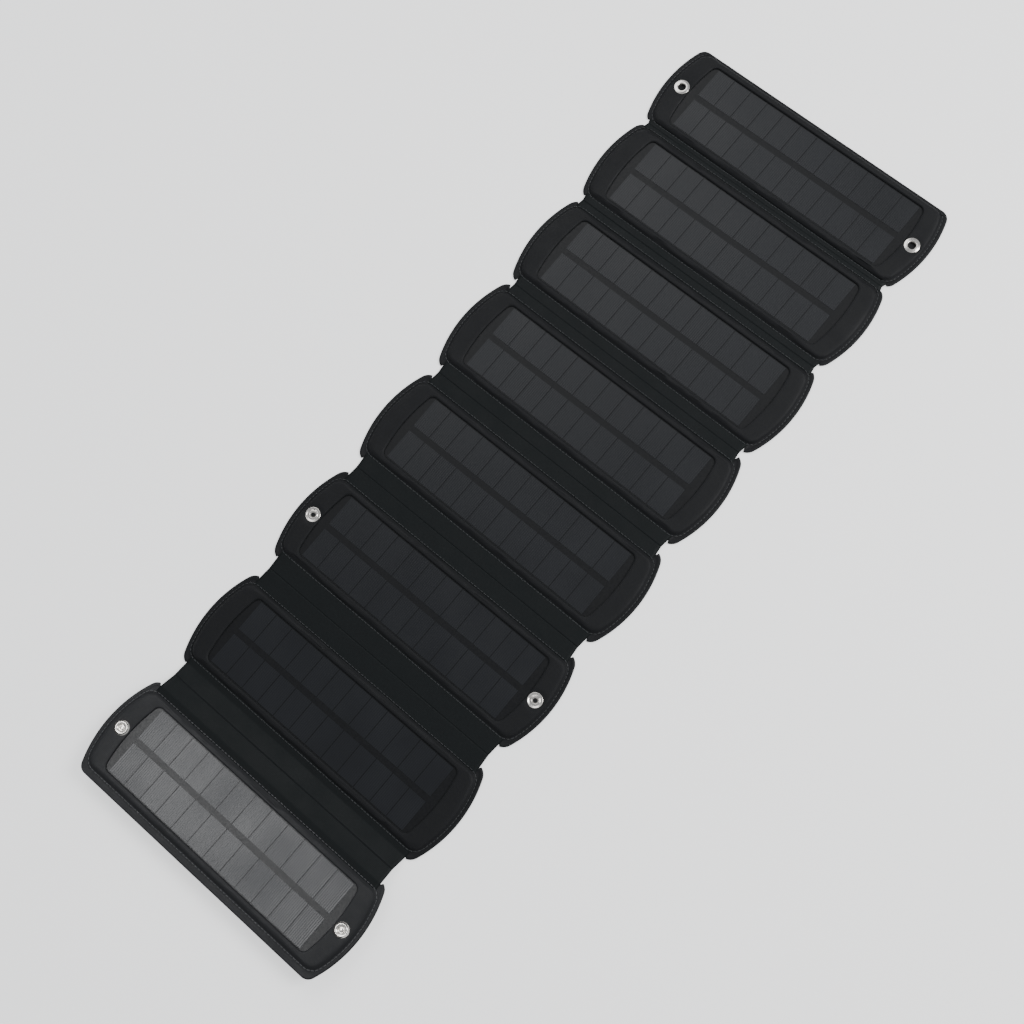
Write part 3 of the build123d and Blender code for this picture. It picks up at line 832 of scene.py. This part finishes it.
def soften(node, width):
    """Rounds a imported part's edges so that they catch the light."""
    modifier = frame["nodes"][node].modifiers.new("edges", "BEVEL")
    modifier.width = width * MM
    modifier.segments = 2
    modifier.limit_method = "ANGLE"
    modifier.angle_limit = radians(35)
    modifier.harden_normals = False


class BLANKET_OT_film(bpy.types.Operator):
    """Embossed film over the cells, and the backing sheet between them"""

    bl_idname = "blanket.film"
    bl_label = "Solar film"

    def execute(self, context):
        for panel in PANELS:
            finish(f"panel_{panel}_cells", "film")
            soften(f"panel_{panel}_cells", 0.08)
            finish(f"panel_{panel}_laminate", "backing")
        for hinge in HINGES:
            finish(f"hinge_{hinge}_leads", "copper")
        return {"FINISHED"}


# ---- eyelets and snaps ----
def both_ends(panel):
    return [PANEL_FRAMES[panel] @ Matrix.Translation((side * HARDWARE_X, 0, 0)) for side in ENDS]


# half sections of the pressed metal, as (radius, height over the back face) in millimetres
EYELET_RING = (
    [(3.0, 0.1), (3.0, 2.2), (3.02, 2.75)] + arc_section(3.9, 2.72, 0.85, 178, 100, 6)
    + [(4.6, 3.5), (5.2, 3.3)] + arc_section(5.75, 2.75, 0.55, 70, -20, 5) + [(6.1, 2.3), (3.6, 2.3)]
)
EYELET_WASHER = (
    [(3.45, 0.5), (3.2, 0.3)] + arc_section(3.75, 0.38, 0.35, 200, 280, 3) + [(5.0, 0.06)]
    + arc_section(5.7, 0.4, 0.35, -80, 10, 3) + [(6.1, 0.55)]
)
SNAP_POST = (
    [(6.0, 2.35), (6.1, 2.6)] + arc_section(5.6, 2.75, 0.45, 0, 100, 5)
    + [(4.9, 2.85), (4.4, 2.62), (3.9, 2.62)]
    + arc_section(2.9, 2.8, 0.55, 30, 150, 6) + [(1.5, 2.5), (1.22, 2.0), (1.2, 1.2), (0.0, 1.2)]
)
SNAP_STUD = (
    [(0.0, 0.25), (1.2, 0.22)] + arc_section(1.6, 0.55, 0.35, -80, 30, 4)
    + [(1.75, 1.1), (2.0, 1.45), (3.6, 1.55)]
    + arc_section(5.1, 1.75, 0.3, -80, 60, 4) + [(4.8, 1.95)]
)
SNAP_SOCKET = (
    [(6.1, 2.55), (6.12, 2.9), (5.7, 3.3), (5.1, 3.9)] + arc_section(4.3, 4.25, 0.55, 10, 120, 6)
    + [(3.5, 4.6), (2.9, 4.3), (2.6, 3.9), (2.6, 3.25), (1.6, 3.2), (1.4, 3.35), (0.0, 3.4)]
)
SNAP_CAP = (
    [(6.0, -0.02)] + arc_section(5.7, -0.25, 0.3, 30, -80, 4) + [(4.2, -0.62), (2.4, -0.68), (0.0, -0.7)]
)


class BLANKET_OT_hardware(bpy.types.Operator):
    """Rolled eyelets on panel 1, snap posts and studs on panel 6, snap sockets and caps on panel 8"""

    bl_idname = "blanket.hardware"
    bl_label = "Eyelets and snaps"

    def execute(self, context):
        rings = (
            ("eyelet_rims", "eyelet_barrels", 1, EYELET_RING),
            ("eyelet_backs", "eyelet_washers", 1, EYELET_WASHER),
            ("snap_post_heads", "snap_posts", 6, SNAP_POST),
            ("snap_stud_knobs", "snap_studs", 6, SNAP_STUD),
            ("snap_socket_cups", "snap_sockets", 8, SNAP_SOCKET),
            ("snap_cap_domes", "snap_caps", 8, SNAP_CAP),
        )
        for name, node, panel, section in rings:
            points, faces = [], []
            for place in both_ends(panel):
                turned(section, place, points, faces)
            piece = mesh_piece(name, points, faces, "nickel")
            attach(piece, f"panel_{panel}")
            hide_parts(node)
        points, faces = [], []
        for place in both_ends(8):
            for side in ENDS:
                # the two spring wires inside the cup's mouth
                for step in range(9):
                    y = -1.9 + 3.8 * step / 8
                    turned([(0.0, -0.22), (0.22, 0.0), (0.0, 0.22)],
                           place @ Matrix.Translation((side * 1.75, y, 3.95)), points, faces, 8)
        springs = mesh_piece("snap_springs", points, faces, "nickel")
        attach(springs, "panel_8")
        return {"FINISHED"}


class BLANKET_OT_output_box(bpy.types.Operator):
    """Moulded box under the last panel, with its lid, seal, screws, board and socket"""

    bl_idname = "blanket.output_box"
    bl_label = "Output box"

    def execute(self, context):
        for node, material, edge in (
            ("output_box_tub", "box", 0.5), ("output_box_lid", "box", 0.4), ("lid_seal", "seal", 0.1),
            ("lid_screws", "zinc", 0.12), ("circuit_board", "board", 0.1),
            ("board_components", "package", 0.2),
            ("output_socket", "nickel", 0.15),
        ):
            finish(node, material)
            soften(node, edge)
        return {"FINISHED"}


# ---- stage ----
def softbox(name, direction, distance, across, power, only=None):
    """Square area light aimed at the middle of the blanket; only limits it to some pieces."""
    light = bpy.data.lights.new(name, "AREA")
    light.shape = "RECTANGLE"
    light.size, light.size_y = across[0] * MM, across[1] * MM
    light.energy = power
    lamp = bpy.data.objects.new(name, light)
    bpy.context.scene.collection.objects.link(lamp)
    heading = Vector(direction).normalized()
    lamp.location = heading * distance * MM
    lamp.rotation_euler = heading.to_track_quat("Z", "Y").to_euler()
    if only:
        group = bpy.data.collections.new(f"{name}_receivers")
        for piece in only:
            group.objects.link(piece)
        lamp.light_linking.receiver_collection = group
    return lamp


class BLANKET_OT_stage(bpy.types.Operator):
    """Pale floor, softboxes, even sky and the camera"""

    bl_idname = "blanket.stage"
    bl_label = "Stage"

    def execute(self, context):
        settings = context.scene.blanket_stage
        reach, under = 4000, -0.2
        corners = [(x * reach, y * reach, under) for x, y in ((-1, -1), (1, -1), (1, 1), (-1, 1))]
        floor = mesh_piece("floor", corners, [(0, 1, 2, 3)], "floor", smooth=False)
        world = bpy.data.worlds.new("even_sky")
        world.use_nodes = True
        sky = world.node_tree.nodes["Background"]
        sky.inputs["Color"].default_value = (0.93, 0.96, 1.0, 1.0)
        sky.inputs["Strength"].default_value = settings.sky
        context.scene.world = world
        last = [o for o in context.scene.objects if o.name.startswith(("panel_8_", "snap_socket"))]
        softbox("key_softbox", (0.55, 0.5, 0.8), 1900, (900, 900), settings.key)
        softbox("fill_softbox", (-0.6, 0.45, 0.9), 1900, (1200, 1200), settings.fill)
        softbox("glancing_softbox", (-0.3, -0.2, 0.95), 1500, (900, 500), settings.sheen_light, last)
        camera = bpy.data.cameras.new("camera")
        camera.lens = settings.camera_lens
        camera.sensor_width = 36
        camera.clip_start = 0.01
        eye = bpy.data.objects.new("camera", camera)
        context.scene.collection.objects.link(eye)
        eye.location = Vector(settings.camera_place) * MM
        eye.rotation_euler = [radians(turn) for turn in settings.camera_turn]
        context.scene.camera = eye
        return {"FINISHED"}


class BLANKET_PT_panel(bpy.types.Panel):
    """Steps that build the blanket, in order"""

    bl_idname = "BLANKET_PT_panel"
    bl_label = "Solar blanket"
    bl_space_type = "VIEW_3D"
    bl_region_type = "UI"
    bl_category = "Solar blanket"

    def draw(self, context):
        for operator in OPERATORS:
            self.layout.operator(operator.bl_idname)
        for group in ("blanket_cloth", "blanket_film", "blanket_metal", "blanket_stage"):
            settings = getattr(context.scene, group)
            for name in settings.bl_rna.properties.keys():
                if name not in ("rna_type", "name"):
                    self.layout.prop(settings, name)


SETTINGS = {
    "blanket_cloth": BlanketClothSettings, "blanket_film": BlanketFilmSettings,
    "blanket_metal": BlanketMetalSettings, "blanket_stage": BlanketStageSettings,
}
OPERATORS = (
    BLANKET_OT_covers, BLANKET_OT_stitches, BLANKET_OT_hinges, BLANKET_OT_film, BLANKET_OT_hardware,
    BLANKET_OT_output_box, BLANKET_OT_stage,
)


def register():
    for group in (*SETTINGS.values(), *OPERATORS, BLANKET_PT_panel):
        bpy.utils.register_class(group)
    for name, group in SETTINGS.items():
        setattr(bpy.types.Scene, name, PointerProperty(type=group))


def unregister():
    for name in SETTINGS:
        delattr(bpy.types.Scene, name)
    for group in reversed((*SETTINGS.values(), *OPERATORS, BLANKET_PT_panel)):
        bpy.utils.unregister_class(group)


def main():
    register()
    make_materials(bpy.context.scene)
    bpy.ops.blanket.covers()
    bpy.ops.blanket.stitches()
    bpy.ops.blanket.hinges()
    bpy.ops.blanket.film()
    bpy.ops.blanket.hardware()
    bpy.ops.blanket.output_box()
    bpy.ops.blanket.stage()


if __name__ == "__main__":
    main()
